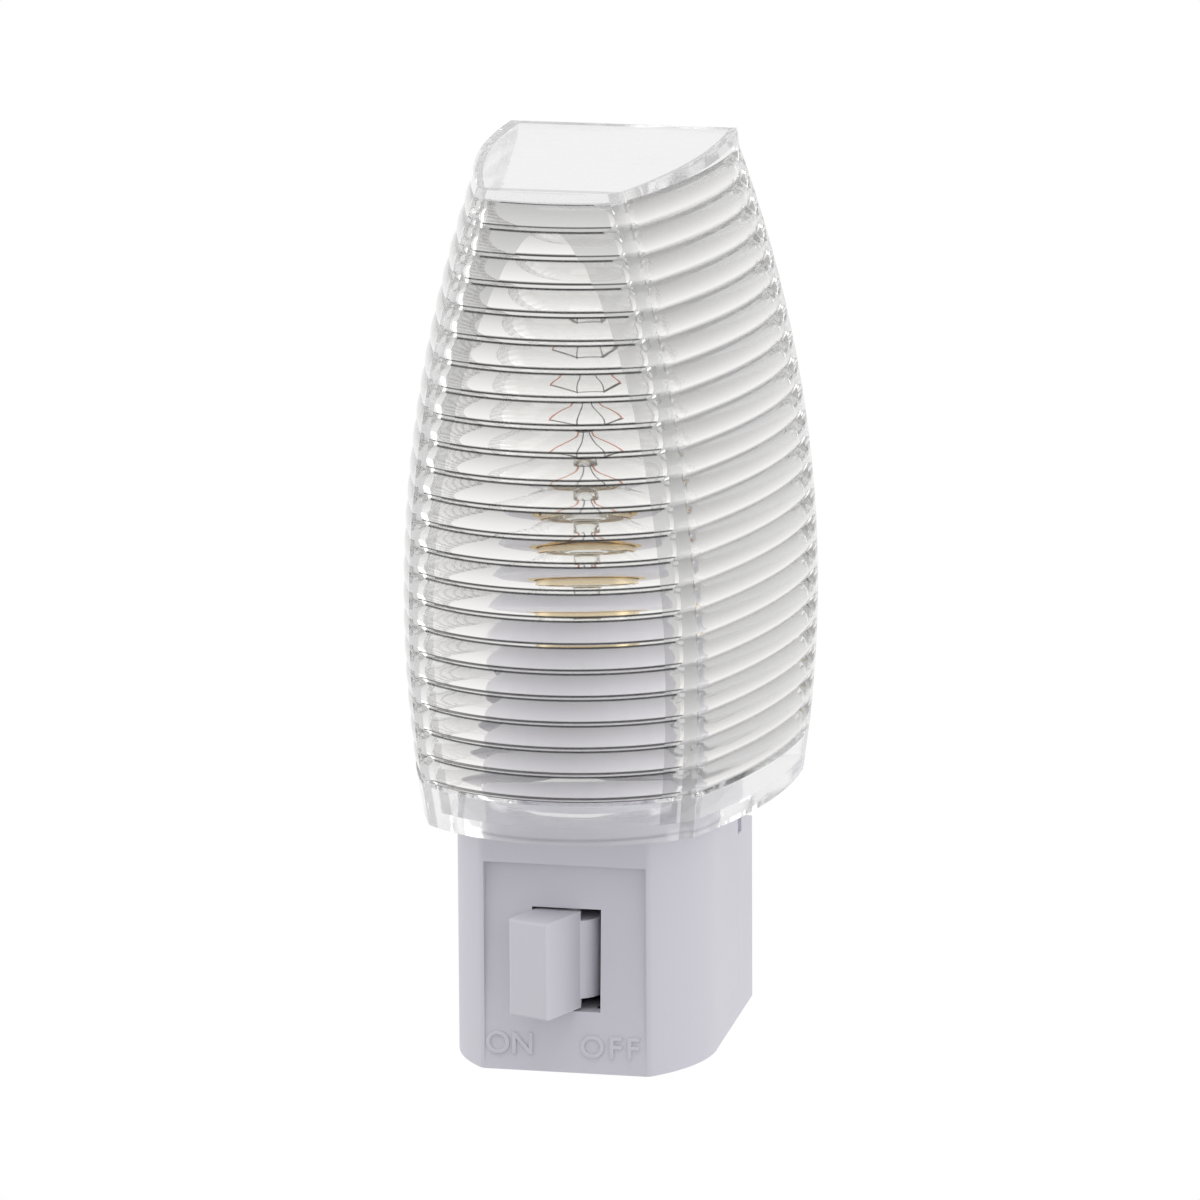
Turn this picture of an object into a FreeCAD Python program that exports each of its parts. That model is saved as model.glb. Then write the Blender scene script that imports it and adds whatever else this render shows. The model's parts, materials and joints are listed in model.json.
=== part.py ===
import FreeCAD, Part
import math
import os

# Plug-in night light. Sizes are millimetres. The design frame has X to the right,
# Y = 0 on the flat front of the base and growing towards the wall, and Z = 0 on
# the underside of the base. The parts are written out with their origin on the
# plug face, midway between the blades.

V = FreeCAD.Vector

# Base
baseWidth = 30.0
baseDepth = 34.0
frontFlatWidth = 19.6
sideFlatStart = 12.5
housingTop = 28.8
wall = 1.8
plugHeight = 13.0
frontEdgeRound = 1.2
recessTop = 24.5
recessDepth = 1.3
recessWidth = 19.0

# Seam between front housing and rear cover
seamY = 25.0
rearTopFront = 24.4
rearTopBack = 22.8
rearFootStart = 13.0
rearFootHeight = 4.0
rearRise = 1.2
rearEdgeRound = 1.0
notchLength = 2.2
notchDepth = 1.8
flatNarrowing = 0.4
panelInset = 0.2
cutMargin = 1.0

# Switch lever, its slot and its bearings
slotWidth = 8.1
slotBottom = 7.2
slotHeight = 12.0
pivotY = 3.9
leverReach = 9.3
leverWidth = 5.2
leverTilt = 20.7
drumRadius = 3.5
drumHeight = 9.2
tailReach = 6.4
tailWidth = 2.0
tailHeight = 7.0
journalRadius = 1.1
journalLength = 3.2
bearingThickness = 1.9
bearingLength = 3.6
bearingWidth = 6.4
leverEdgeRound = 0.4
paddleRootShare = 0.6
clipLength = 3.0
runningGap = 0.05
movingGap = 0.3

# Socket column and what it holds
lampY = 12.5
columnTop = 54.2
columnTopRadius = 11.2
columnFootRadius = 12.1
columnWall = 1.6
rimRound = 0.8
tubeWall = 1.5
tubeFoot = 33.5
socketSeat = 35.5
insulatorThickness = 1.5
shellInnerRadius = 6.15
shellThickness = 0.35
shellLipRadius = 6.9
shellLedge = 0.4
tubeLedge = 0.6
stripThickness = 0.5
stripWidth = 4.0
leafWidth = 3.2
leafStart = 2.6
leafEnd = 7.5
crossDrop = 2.0
strapDrop = 4.0
centreLegX = 2.6
strapX = 4.6
archReach = 2.5
archThickness = 0.35
archFoot = 0.45

# Lamp
capRadius = 5.85
capTop = 57.0
capHeight = 14.5
capThickness = 0.3
capInsulatorHeight = 2.0
tipRadius = 1.9
tipHeight = 1.5
tipSteps = 3
capLipWidth = 1.6
insulatorRim = 0.8
insulatorFootRim = 0.7
glassRadius = 11.1
lampHeadroom = 8.8
glassWall = 0.7
glassNeckRadius = 5.4
neckInCap = 1.5
bellyHeight = 14.5
domeFullness = 0.85
outerGlassSteps = 5
innerGlassSteps = 4
stemRadius = 1.5
stemHeight = 9.0
sealGap = 0.02
flareLip = 0.6
flareHeight = 3.0
leadRadius = 0.25
leadSpread = 4.2
leadHeight = 18.0
leadFootX = 0.9
leadFootRise = 1.5
filamentRadius = 0.22
supportHeight = 21.0
supportSpread = 1.6
supportRadius = 0.175
supportFootX = 0.4
supportFootY = 0.7
supportFootRise = 2.0
supportBack = 2.4

# Plug blades, on the two-pole 15 A pattern
bladeSpacing = 12.7
bladeThickness = 1.5
hotBladeHeight = 6.3
neutralBladeHeight = 7.9
bladeLength = 16.5
bladeHoleRadius = 1.6
bladeHoleSetback = 11.7
bladeTabLength = 7.0
bladeTipShare = 0.55
pocketRib = 1.0
pocketLength = 3.0
rivetInset = 2.2
rivetRadius = 1.0
rivetHeadRadius = 1.7
rivetHeadHeight = 0.6

# Switch contacts
contactX = 5.4
contactButtonRadius = 1.1
contactButtonHeight = 0.5
upperContactZ = 15.4
lowerContactZ = 11.0
contactSetback = 1.2

# Shade
shadeBottom = 28.9
shadeBack = 33.0
shadeWall = 1.7
shadeFloor = 2.0
shadeTopFront = 103.5
shadeTopBack = 104.6
frontHalfMax = 16.8
frontWidestZ = 50.0
frontOutlineRadius = 172.0
backHalfMax = 23.0
backWidestZ = 51.5
backOutlineRadius = 141.0
cornerY = -6.2
cornerForemostZ = 78.0
cornerOutlineRadius = 265.0
frontArcRadius = 21.8
sideBow = 1.9
cornerStrip = 1.35
backStrip = 3.0
ribCount = 22
ribDepth = 0.6
ribStart = 34.1
ribTopBand = 1.2
crestRecess = 0.08
plainMargin = 0.3
ribShoulder = 0.22
shoulderShare = 0.15
hollowSteps = 9
hollowFrontShare = 0.96
shadeSlotGap = 0.3

# Sizes that follow from the ones above
ribPitch = (shadeTopFront - ribTopBand - ribStart) / ribCount
glassHeight = shadeTopFront - shadeWall - lampHeadroom - capTop


def polygonFace(points):
    wire = Part.makePolygon(points + [points[0]])
    return Part.Face(wire)


def cylinder(radius, height, x, y, z):
    return Part.makeCylinder(radius, height, V(x, y, z))


def box(x0, x1, y0, y1, z0, z1):
    return Part.makeBox(x1 - x0, y1 - y0, z1 - z0, V(x0, y0, z0))


def sideArcRadius():
    # The side arc leaves the flat side at sideFlatStart and ends on the front flat.
    inset = (baseWidth - frontFlatWidth) / 2
    return (inset ** 2 + sideFlatStart ** 2) / (2 * inset)


def basePlan(inset, back):
    # Plan outline of the base: flat front, arched shoulders, straight sides.
    half = baseWidth / 2 - inset
    flat = frontFlatWidth / 2 - inset * flatNarrowing
    radius = sideArcRadius() - inset
    front = sideFlatStart - math.sqrt(radius ** 2 - (radius - half + flat) ** 2)
    centre = half - radius
    turn = math.atan2(sideFlatStart - front, flat - centre) / 2
    midX = centre + radius * math.cos(turn)
    midY = sideFlatStart - radius * math.sin(turn)
    edges = [
        Part.LineSegment(V(-flat, front, 0), V(flat, front, 0)).toShape(),
        Part.Arc(V(flat, front, 0), V(midX, midY, 0), V(half, sideFlatStart, 0)).toShape(),
        Part.LineSegment(V(half, sideFlatStart, 0), V(half, back, 0)).toShape(),
        Part.LineSegment(V(half, back, 0), V(-half, back, 0)).toShape(),
        Part.LineSegment(V(-half, back, 0), V(-half, sideFlatStart, 0)).toShape(),
        Part.Arc(V(-half, sideFlatStart, 0), V(-midX, midY, 0), V(-flat, front, 0)).toShape(),
    ]
    return Part.Face(Part.Wire(edges))


def basePrism(inset, back, z0, z1):
    face = basePlan(inset, back)
    face.translate(V(0, 0, z0))
    return face.extrude(V(0, 0, z1 - z0))


def arcFrom(start, middle, end):
    return Part.Arc(start, middle, end).toShape()


def line(start, end):
    return Part.LineSegment(start, end).toShape()


def edgesAt(shape, test):
    return [edge for edge in shape.Edges if test(edge)]


def isUpright(edge):
    box0 = edge.BoundBox
    return box0.ZLength > 5 and box0.XLength < 0.01 and box0.YLength < 0.01


def filletFrontCorners(shape):
    def onFront(edge):
        return isUpright(edge) and edge.BoundBox.YMin < 0.01
    return shape.makeFillet(frontEdgeRound, edgesAt(shape, onFront))


def recessWedge():
    # Shallow panel in the front, deepest at its top and running out to nothing.
    face = polygonFace([
        V(-recessWidth / 2, -cutMargin, 0),
        V(-recessWidth / 2, 0, 0),
        V(-recessWidth / 2, recessDepth, recessTop),
        V(-recessWidth / 2, -cutMargin, recessTop),
    ])
    return face.extrude(V(recessWidth, 0, 0))


def slotMiddle():
    return slotBottom + slotHeight / 2


def bearingLow():
    return slotBottom - bearingThickness


def bearingHigh():
    return slotBottom + slotHeight


def leverBearings():
    # Two ledges behind the front wall, above and below the slot.
    parts = []
    for z0 in (bearingLow(), bearingHigh()):
        parts.append(box(-bearingWidth / 2, bearingWidth / 2, wall, pivotY + bearingLength / 2,
                         z0, z0 + bearingThickness))
    return parts


def bearingBore():
    # One straight bore through both ledges for the lever's journals.
    foot = bearingLow()
    return cylinder(journalRadius + runningGap, bearingHigh() + bearingThickness - foot, 0, pivotY, foot)


def columnShell():
    # Tapered outer wall, eased rim and inner tube, revolved as one moulding.
    bore = shellInnerRadius + shellThickness + runningGap
    foot = columnFootRadius
    top = columnTopRadius
    tube = bore + tubeWall
    ledge = shellInnerRadius - tubeLedge
    lip = shellLipRadius + runningGap
    outline = [
        V(foot, 0, housingTop - wall),
        V(top, 0, columnTop - rimRound),
        V(top - rimRound, 0, columnTop),
        V(lip, 0, columnTop),
        V(lip, 0, columnTop - shellThickness - runningGap),
        V(bore, 0, columnTop - shellThickness - runningGap),
        V(bore, 0, socketSeat),
        V(ledge, 0, socketSeat),
        V(ledge, 0, tubeFoot),
        V(tube, 0, tubeFoot),
        V(tube, 0, columnTop - columnWall),
        V(top - columnWall, 0, columnTop - columnWall),
        V(foot - columnWall, 0, housingTop - wall),
    ]
    solid = polygonFace(outline).revolve(V(0, 0, 0), V(0, 0, 1), 360)
    solid.translate(V(0, lampY, 0))
    return solid


def frontHousing():
    outer = basePrism(0, seamY, 0, housingTop)
    outer = filletFrontCorners(outer)
    inner = basePrism(wall, seamY + cutMargin, wall, housingTop - wall)
    body = outer.cut(inner)
    half = baseWidth / 2 - wall
    rearWall = box(-half, half, seamY - wall, seamY, rearTopFront - wall, housingTop - wall)
    body = body.fuse(rearWall)
    pocket = recessWedge()
    panel = recessWedge()
    panel.translate(V(0, wall, 0))
    panel = panel.common(basePrism(panelInset, seamY, 0, housingTop))
    body = body.fuse(panel).cut(pocket)
    slot = box(-slotWidth / 2, slotWidth / 2, -cutMargin, wall + recessDepth + cutMargin,
               slotBottom, slotBottom + slotHeight)
    body = body.cut(slot)
    foot = box(-baseWidth, baseWidth, rearFootStart, seamY + cutMargin, -cutMargin, rearFootHeight)
    body = body.cut(foot)
    body = body.fuse(leverBearings()).cut(bearingBore())
    body = body.cut(cylinder(columnFootRadius - columnWall, wall * 3, 0, lampY, housingTop - 2 * wall))
    body = body.fuse(columnShell())
    return body.removeSplitter()


def rearProfile():
    # Side profile of the rear cover: foot, sloping underside and notched top.
    slope = rearRise / (baseDepth - rearFootStart)
    top = V(0, baseDepth, rearTopBack)
    return [
        V(0, rearFootStart, 0),
        V(0, baseDepth, slope * (baseDepth - rearFootStart)),
        top,
        V(0, seamY + notchLength, rearTopFront),
        V(0, seamY + notchLength, rearTopFront - notchDepth),
        V(0, seamY, rearTopFront - notchDepth),
        V(0, seamY, rearFootHeight),
        V(0, rearFootStart, rearFootHeight),
    ]


def extrudeAcross(points, half):
    face = polygonFace([point + V(-half, 0, 0) for point in points])
    return face.extrude(V(2 * half, 0, 0))


def rearHollow():
    # Room inside the rear cover, open towards the front housing.
    points = [
        V(0, seamY - cutMargin, wall + rearFootHeight),
        V(0, baseDepth - wall, wall + rearFootHeight),
        V(0, baseDepth - wall, rearTopBack - wall),
        V(0, seamY + notchLength + wall, rearTopBack - wall),
        V(0, seamY + notchLength + wall, rearTopFront - notchDepth - wall),
        V(0, seamY - cutMargin, rearTopFront - notchDepth - wall),
    ]
    return extrudeAcross(points, baseWidth / 2 - wall)


def footHollow():
    return box(-baseWidth / 2 + wall, baseWidth / 2 - wall, rearFootStart + wall, baseDepth - wall,
               rearRise + wall, rearFootHeight + wall + cutMargin)


def bladeCutter(x, height):
    gap = runningGap
    half = bladeThickness / 2 + gap
    rise = height / 2 + gap
    return box(x - half, x + half, baseDepth - 2 * wall, baseDepth + cutMargin,
               plugHeight - rise, plugHeight + rise)


def rearCover():
    body = extrudeAcross(rearProfile(), baseWidth / 2)
    body = body.common(basePrism(0, baseDepth, -cutMargin, housingTop))

    def atBack(edge):
        bounds = edge.BoundBox
        upright = bounds.ZLength > 5 and bounds.XLength < 0.01
        across = bounds.XLength > 5 and bounds.ZLength < 0.01 and bounds.ZMin > rearTopBack - 0.1
        return bounds.YMin > baseDepth - 0.01 and (upright or across)
    body = body.makeFillet(rearEdgeRound, edgesAt(body, atBack))
    body = body.cut(rearHollow()).cut(footHollow())
    for x, height in ((bladeSpacing / 2, hotBladeHeight), (-bladeSpacing / 2, neutralBladeHeight)):
        body = body.cut(bladeCutter(x, height))
        body = body.fuse(bladePocket(x, height))
    return body.removeSplitter()


def bladePocket(x, height):
    # Ribs inside the cover that grip a blade's root above and below.
    half = bladeThickness / 2
    parts = []
    for sign in (-1, 1):
        edge = plugHeight + sign * (height / 2 + runningGap)
        low = min(edge, edge + sign * wall)
        parts.append(box(x - half - pocketRib, x + half + pocketRib, baseDepth - wall - pocketLength,
                         baseDepth - wall, low, low + wall))
    return parts


def blade(x, height):
    length = bladeLength
    half = bladeThickness / 2
    plate = box(x - half, x + half, baseDepth - wall - bladeTabLength, baseDepth + length,
                plugHeight - height / 2, plugHeight + height / 2)
    tip = [edge for edge in plate.Edges if edge.BoundBox.YMin > baseDepth + length - 0.01]
    plate = plate.makeChamfer(half * bladeTipShare, tip)
    holes = [baseDepth + bladeHoleSetback, rivetY()]
    radii = [bladeHoleRadius, rivetRadius]
    for y, radius in zip(holes, radii):
        hole = Part.makeCylinder(radius, bladeThickness * 2, V(x - bladeThickness, y, plugHeight), V(1, 0, 0))
        plate = plate.cut(hole)
    return plate


def rivetY():
    return baseDepth - wall - bladeTabLength + rivetInset


def rivet(x, side):
    # Tubular-head rivet through blade and strip; side is the strip's side of the blade.
    half = bladeThickness / 2
    start = x - half if side > 0 else x - half - stripThickness
    length = bladeThickness + stripThickness
    axis = V(1, 0, 0)
    shank = Part.makeCylinder(rivetRadius, length, V(start, rivetY(), plugHeight), axis)
    heads = []
    for headX in (start - rivetHeadHeight, start + length):
        foot = V(headX, rivetY(), plugHeight)
        heads.append(Part.makeCylinder(rivetHeadRadius, rivetHeadHeight, foot, axis))
    return shank.fuse(heads).removeSplitter()


def contactFaceX():
    return contactX + stripThickness


def rivetHole(x):
    start = V(x - stripThickness - cutMargin, rivetY(), plugHeight)
    return Part.makeCylinder(rivetRadius, 2 * (stripThickness + cutMargin), start, V(1, 0, 0))


def hotStrip():
    # From the hot blade's root forward to the lower switch contact.
    blade0 = bladeSpacing / 2 + bladeThickness / 2
    x1 = blade0 + stripThickness
    width = stripWidth / 2
    root = box(blade0, x1, rivetY() - width, rivetY() + width, plugHeight - width, plugHeight + width)
    bend = pivotY + leafEnd
    low = lowerContactZ - leafWidth / 2
    high = lowerContactZ + leafWidth / 2
    run = box(blade0, x1, bend, rivetY() - width, low, high)
    jog = box(contactX, x1, bend - stripThickness, bend, low, high)
    leaf = box(contactX, contactFaceX(), pivotY + leafStart, bend, low, high)
    hole = rivetHole(blade0)
    return root.fuse([run, jog, leaf]).cut(hole).removeSplitter()


def lampStrip():
    # From the upper switch contact up to the socket's centre contact.
    top = socketSeat + insulatorThickness
    low = upperContactZ - leafWidth / 2
    level = tubeFoot - crossDrop
    front = lampY - stripWidth / 2
    back = lampY + stripWidth / 2
    leaf = box(contactX, contactFaceX(), pivotY + leafStart, back, low, low + leafWidth)
    riser = box(contactX, contactFaceX(), front, back, low, level)
    cross = box(centreLegX, contactFaceX(), front, back, level, level + stripThickness)
    leg = box(centreLegX, centreLegX + stripThickness, front, back, level, top)
    pad = box(-centreLegX, centreLegX + stripThickness, front, back, top, top + stripThickness)
    return leaf.fuse([riser, cross, leg, pad]).removeSplitter()


def lampFoot():
    # Lowest point of the lamp when it is screwed home.
    return capTop - capHeight - capInsulatorHeight - tipHeight


def centreContact():
    # Arched leaf that the lamp's tip presses on, standing on the strip's pad.
    base = socketSeat + insulatorThickness + stripThickness
    crown = lampFoot() - movingGap
    front = lampY - stripWidth / 2
    inside = archReach - archFoot
    edges = [
        arcFrom(V(-archReach, front, base), V(0, front, crown), V(archReach, front, base)),
        line(V(archReach, front, base), V(inside, front, base)),
        arcFrom(V(inside, front, base), V(0, front, crown - archThickness), V(-inside, front, base)),
        line(V(-inside, front, base), V(-archReach, front, base)),
    ]
    return Part.Face(Part.Wire(edges)).extrude(V(0, stripWidth, 0))


def socketInsulator():
    disc = cylinder(shellInnerRadius + shellThickness, insulatorThickness, 0, lampY, socketSeat)
    half = stripWidth / 2 + runningGap
    for x in (centreLegX, -strapX - stripThickness):
        slot = box(x - runningGap, x + stripThickness + runningGap, lampY - half, lampY + half,
                   socketSeat - cutMargin, socketSeat + insulatorThickness + cutMargin)
        disc = disc.cut(slot)
    return disc


def shellFoot():
    return socketSeat + insulatorThickness


def screwShell():
    # Plain-walled shell with a rolled lip on the rim and a lip under the lamp.
    outer = shellInnerRadius + shellThickness
    outline = [
        V(outer, 0, shellFoot()),
        V(outer, 0, columnTop - shellThickness),
        V(shellLipRadius, 0, columnTop - shellThickness),
        V(shellLipRadius, 0, columnTop),
        V(shellInnerRadius, 0, columnTop),
        V(shellInnerRadius, 0, shellFoot() + shellThickness),
        V(strapX - shellLedge, 0, shellFoot() + shellThickness),
        V(strapX - shellLedge, 0, shellFoot()),
    ]
    solid = polygonFace(outline).revolve(V(0, 0, 0), V(0, 0, 1), 360)
    solid.translate(V(0, lampY, 0))
    return solid


def shellStrap():
    # From the neutral blade's root up to the underside of the screw shell.
    blade0 = -bladeSpacing / 2 - bladeThickness / 2
    x0 = blade0 - stripThickness
    width = stripWidth / 2
    low = plugHeight - width
    high = plugHeight + width
    level = tubeFoot - strapDrop
    front = lampY - width
    back = lampY + width
    root = box(x0, blade0, rivetY() - width, rivetY() + width, low, high)
    run = box(x0, blade0, front, rivetY() - width, low, high)
    riser = box(x0, blade0, front, back, low, level)
    cross = box(x0, -strapX, front, back, level, level + stripThickness)
    leg = box(-strapX - stripThickness, -strapX, front, back, level, shellFoot())
    hole = rivetHole(x0)
    return root.fuse([run, riser, cross, leg]).cut(hole).removeSplitter()


def contactButtons():
    # Silver buttons on the inner faces of the two fixed contact leaves.
    parts = []
    for z in (lowerContactZ, upperContactZ):
        start = V(contactX - contactButtonHeight, contactY(), z)
        parts.append(Part.makeCylinder(contactButtonRadius, contactButtonHeight, start, V(1, 0, 0)))
    return Part.makeCompound(parts)


def contactY():
    return pivotY + tailReach * math.cos(math.radians(leverTilt)) - contactSetback


def tiltLever(shape):
    shape.rotate(V(0, pivotY, 0), V(0, 0, 1), -leverTilt)
    return shape


def switchLever():
    middle = slotMiddle()
    half = leverWidth / 2
    paddleHeight = slotHeight - 2 * movingGap
    drum = cylinder(drumRadius, drumHeight, 0, pivotY, middle - drumHeight / 2)
    low = middle - paddleHeight / 2
    paddle = box(-half, half, pivotY - leverReach, pivotY, low, low + paddleHeight)
    front = [edge for edge in paddle.Edges if edge.BoundBox.YMax < pivotY - leverReach + 0.01]
    paddle = paddle.makeFillet(leverEdgeRound, front)
    root = pivotY - drumRadius * paddleRootShare
    clearance = box(-half - cutMargin, half + cutMargin, root, pivotY + cutMargin,
                    low - cutMargin, middle - drumHeight / 2)
    upper = clearance.mirror(V(0, 0, middle), V(0, 0, 1))
    paddle = paddle.cut(clearance).cut(upper)
    tail = box(-tailWidth / 2, tailWidth / 2, pivotY, pivotY + tailReach,
               middle - tailHeight / 2, middle + tailHeight / 2)
    pins = []
    for z0 in (middle - drumHeight / 2 - journalLength, middle + drumHeight / 2):
        pins.append(cylinder(journalRadius, journalLength, 0, pivotY, z0))
    lever = drum.fuse([paddle, tail] + pins).removeSplitter()
    return tiltLever(lever)


def movingContact():
    # Brass clip pressed over the lever's tail, with a nose to each fixed contact.
    middle = slotMiddle()
    half = tailWidth / 2
    low = middle - tailHeight / 2
    high = middle + tailHeight / 2
    y0 = pivotY + tailReach - clipLength
    y1 = pivotY + tailReach
    plates = [
        box(half, half + stripThickness, y0, y1 + stripThickness, low, high),
        box(-half - stripThickness, -half, y0, y1 + stripThickness, low, high),
        box(-half, half, y1, y1 + stripThickness, low, high),
    ]
    clip = plates[0].fuse(plates[1:]).removeSplitter()
    return tiltLever(clip)


def glassOutline(offset, steps):
    # Candle-shaped bulb: slim neck, widest below the middle, rounded tip. The
    # flare and the dome are quarter ovals, taken in a few straight steps.
    neck = glassNeckRadius - offset
    widest = glassRadius - offset
    belly = capTop + bellyHeight
    points = [V(neck, 0, capTop - neckInCap), V(neck, 0, capTop)]
    for i in range(1, steps + 1):
        turn = math.pi * i / steps
        radius = neck + (widest - neck) * (1 - math.cos(turn)) / 2
        points.append(V(radius, 0, capTop + bellyHeight * i / steps))
    dome = glassHeight - bellyHeight - offset
    for i in range(1, steps + 1):
        turn = math.pi / 2 * i / steps
        points.append(V(widest * math.cos(turn) ** domeFullness, 0, belly + dome * math.sin(turn)))
    points[-1].x = 0
    return points


def lampGlass():
    outside = glassOutline(0, outerGlassSteps)
    inside = glassOutline(glassWall, innerGlassSteps)
    return revolveLamp(outside + inside[::-1])


def revolveLamp(points):
    solid = polygonFace(points).revolve(V(0, 0, 0), V(0, 0, 1), 360)
    solid.translate(V(0, lampY, 0))
    return solid


def lampCap():
    foot = capTop - capHeight
    inner = capRadius - capThickness
    return revolveLamp([
        V(capRadius, 0, foot),
        V(capRadius, 0, capTop),
        V(inner, 0, capTop),
        V(inner, 0, foot + capThickness),
        V(capRadius - capLipWidth, 0, foot + capThickness),
        V(capRadius - capLipWidth, 0, foot),
    ])


def lampInsulator():
    top = capTop - capHeight
    foot = top - capInsulatorHeight
    return revolveLamp([
        V(0, 0, foot),
        V(tipRadius + insulatorFootRim, 0, foot),
        V(capRadius - insulatorRim, 0, top),
        V(0, 0, top),
    ])


def lampTip():
    # Solder tip, a low dome in a few straight steps.
    top = capTop - capHeight - capInsulatorHeight
    points = [V(0, 0, top)]
    for i in range(tipSteps + 1):
        turn = math.pi / 2 * i / tipSteps
        points.append(V(tipRadius * math.sin(turn), 0, top - tipHeight * math.cos(turn)))
    return revolveLamp(points)


def lampStem():
    # Glass mount: flare sealed in the neck, tube and flattened press.
    flare = glassNeckRadius - glassWall - sealGap
    foot = capTop - neckInCap
    return revolveLamp([
        V(0, 0, foot),
        V(flare, 0, foot),
        V(flare, 0, foot + flareLip),
        V(stemRadius, 0, foot + flareHeight),
        V(stemRadius, 0, foot + stemHeight),
        V(0, 0, foot + stemHeight),
    ])


def wirePath(points, radius):
    # Round wire along straight runs, mitred at each bend.
    path = Part.makePolygon(points)
    ring = Part.Wire(Part.makeCircle(radius, points[0], points[1] - points[0]))
    return path.makePipeShell([ring], True, False, 1)


def pressTop():
    return capTop - neckInCap + stemHeight


def leadWire(side):
    top = capTop + leadHeight
    return wirePath([
        V(side * leadFootX, lampY, pressTop()),
        V(side * leadFootX, lampY, pressTop() + leadFootRise),
        V(side * leadSpread, lampY, top),
    ], leadRadius)


def supportWires():
    parts = []
    for side in (-1, 1):
        x = side * supportFootX
        y = lampY + supportFootY
        parts.append(wirePath([
            V(x, y, pressTop()),
            V(x, y, pressTop() + supportFootRise),
            V(side * supportSpread, lampY + supportBack, capTop + supportHeight),
        ], supportRadius))
    return Part.makeCompound(parts)


def filament():
    # Coiled wire, here its outer shape, strung from lead to lead over the supports.
    gap = leadRadius + filamentRadius
    top = capTop + leadHeight + gap
    high = capTop + supportHeight + gap
    return wirePath([
        V(-leadSpread, lampY, top),
        V(-supportSpread, lampY + supportBack, high),
        V(supportSpread, lampY + supportBack, high),
        V(leadSpread, lampY, top),
    ], filamentRadius)


def frontHalf(z):
    return frontHalfMax - (z - frontWidestZ) ** 2 / (2 * frontOutlineRadius)


def backHalf(z):
    return backHalfMax - (z - backWidestZ) ** 2 / (2 * backOutlineRadius)


def cornerFront(z):
    return cornerY + (z - cornerForemostZ) ** 2 / (2 * cornerOutlineRadius)


def bowFrom(start, middle, end):
    # Shallow parabola whose vertex stands over the middle of its chord.
    curve = Part.BezierCurve()
    curve.setPoles([start, middle * 2 - (start + end) * 0.5, end])
    return curve.toShape()


def mirrored(point):
    return V(-point.x, point.y, point.z)


def sidePoint(z, inset, y):
    # A point on the bowed side wall, moved in by inset along the chord's normal.
    a = frontHalf(z)
    b = backHalf(z)
    y0 = cornerFront(z)
    share = (y - y0) / (shadeBack - y0)
    x = a + (b - a) * share + sideBow * 4 * share * (1 - share)
    length = math.hypot(b - a, shadeBack - y0)
    return V(x - inset * (shadeBack - y0) / length, y + inset * (b - a) / length, z)


def frontPoint(z, inset, share):
    # A point on the front's arc; share runs from 0 in the middle to 1 at its end.
    end = frontHalf(z) - cornerStrip
    turn = math.asin(end / frontArcRadius) * share
    centre = cornerFront(z) - cornerStrip + math.sqrt(frontArcRadius ** 2 - end ** 2)
    radius = frontArcRadius - inset
    return V(radius * math.sin(turn), centre - radius * math.cos(turn), z)


def outerPoints(z, inset):
    # Right half of the outline, from the middle of the front to the back edge.
    ribEnd = shadeBack - backStrip
    y0 = cornerFront(z)
    return [
        frontPoint(z, inset, 0),
        frontPoint(z, inset, 1),
        frontPoint(z, 0, 1),
        sidePoint(z, 0, y0),
        sidePoint(z, inset, y0),
        sidePoint(z, inset, (y0 + ribEnd) / 2),
        sidePoint(z, inset, ribEnd),
        sidePoint(z, 0, ribEnd),
        sidePoint(z, 0, shadeBack),
    ]


def outlineWire(z, inset, rise):
    # The closed outline at height z, with the ribbed faces moved in by inset. For
    # the sloping top panel, rise lifts the outline steadily towards the back.
    points = outerPoints(z, inset)
    foremost = points[0].y
    for point in points:
        point.z += rise * (point.y - foremost) / (shadeBack - foremost)
    left = [mirrored(point) for point in points]
    edges = [arcFrom(left[1], points[0], points[1])]
    edges += [line(points[i], points[i + 1]) for i in (1, 2, 3)]
    edges += [bowFrom(points[4], points[5], points[6])]
    edges += [line(points[i], points[i + 1]) for i in (6, 7)]
    edges += [line(points[8], left[8])]
    edges += [line(left[i + 1], left[i]) for i in (7, 6)]
    edges += [bowFrom(left[6], left[5], left[4])]
    edges += [line(left[i + 1], left[i]) for i in (3, 2, 1)]
    return Part.Wire(edges)


def hollowWire(z):
    # The smooth inside at height z, carried on past the open back.
    y0 = cornerFront(z)
    corner = sidePoint(z, shadeWall, y0 + shadeWall)
    middle = sidePoint(z, shadeWall, (y0 + shadeBack) / 2)
    back = sidePoint(z, shadeWall, shadeBack)
    past = V(back.x, shadeBack + backStrip, z)
    front = frontPoint(z, shadeWall, hollowFrontShare)
    nose = frontPoint(z, shadeWall, 0)
    edges = [arcFrom(mirrored(front), nose, front), line(front, corner), bowFrom(corner, middle, back)]
    edges += [line(back, past), line(past, mirrored(past)), line(mirrored(past), mirrored(back))]
    edges.append(bowFrom(mirrored(back), mirrored(middle), mirrored(corner)))
    edges.append(line(mirrored(corner), mirrored(front)))
    return Part.Wire(edges)


def ribLevels():
    # Heights and insets of the outlines: a groove, then a rounded rib, repeated.
    rises = [(0, 1), (ribShoulder, shoulderShare), (1 - ribShoulder, shoulderShare)]
    levels = []
    for rib in range(ribCount):
        for share, depth in rises:
            inset = crestRecess + ribDepth * depth
            levels.append((ribStart + (rib + share) * ribPitch, inset))
    levels.append((ribsTop(), crestRecess + ribDepth))
    return levels


def ribsTop():
    return ribStart + ribCount * ribPitch


def shadeUnder():
    # Underside of the top panel.
    return shadeTopFront - shadeWall


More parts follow.
